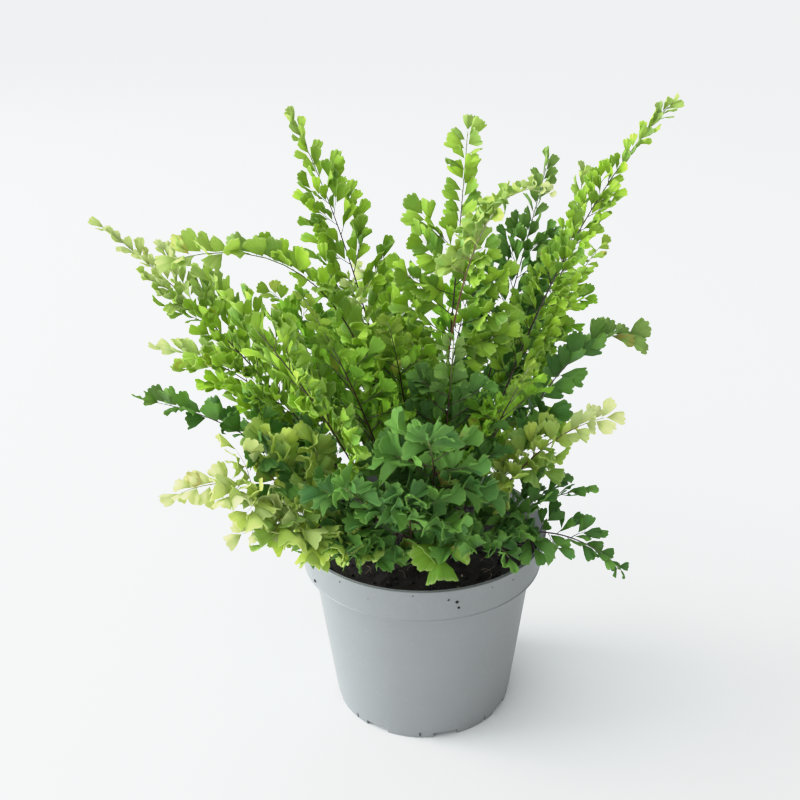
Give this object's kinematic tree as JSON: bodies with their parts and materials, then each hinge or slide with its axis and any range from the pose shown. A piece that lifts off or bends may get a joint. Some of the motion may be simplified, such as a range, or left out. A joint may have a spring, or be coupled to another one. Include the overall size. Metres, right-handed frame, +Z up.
{
  "type": "potted fern",
  "caption": "Maidenhair fern with arching, fan-leafleted fronds on thin dark stalks, rooted in dark peat soil in a grey tapered nursery pot with a deep rim band.",
  "frame": {"origin": "middle of the pot's underside, on the surface that the pot stands on", "axes": "+Z up; +X to the right and +Y to the back as the picture sees the plant"},
  "size_m": [0.2661, 0.2355, 0.2974],
  "materials": {
    "pot": "satin",
    "soil": "matte",
    "fronds_young": "satin",
    "fronds_light": "satin",
    "fronds_middle": "satin",
    "fronds_dark": "satin"
  },
  "bodies": {
    "root": {"pot": "pot", "soil": "soil", "frond_top_centre": "fronds_light", "frond_far_left": "fronds_light", "frond_far_right": "fronds_light", "frond_back_left_tall": "fronds_light", "frond_left_arch": "fronds_light", "frond_back_right_dark": "fronds_dark", "frond_back_right_tall": "fronds_light", "frond_young_curl": "fronds_young", "frond_near_left": "fronds_light", "frond_right_middle": "fronds_dark", "frond_right_light": "fronds_young", "frond_right_low": "fronds_dark", "frond_right_droop": "fronds_dark", "frond_left_dark": "fronds_dark", "frond_left_middle": "fronds_light", "frond_left_low": "fronds_young", "frond_left_droop": "fronds_young", "frond_heart_left": "fronds_middle", "frond_heart": "fronds_middle", "frond_heart_right": "fronds_dark", "frond_right_inner": "fronds_middle", "frond_crown": "fronds_middle", "frond_heart_back": "fronds_light", "frond_front_high": "fronds_dark", "frond_front_left": "fronds_dark", "frond_front_middle": "fronds_dark", "frond_front_rim": "fronds_light", "frond_front_right": "fronds_dark", "frond_front_corner": "fronds_dark", "frond_back_left": "fronds_middle", "frond_back": "fronds_light", "frond_back_right": "fronds_middle", "frond_back_high": "fronds_middle", "frond_back_left_low": "fronds_dark", "frond_back_low": "fronds_dark", "frond_back_right_low": "fronds_light"}
  },
  "joints": []
}
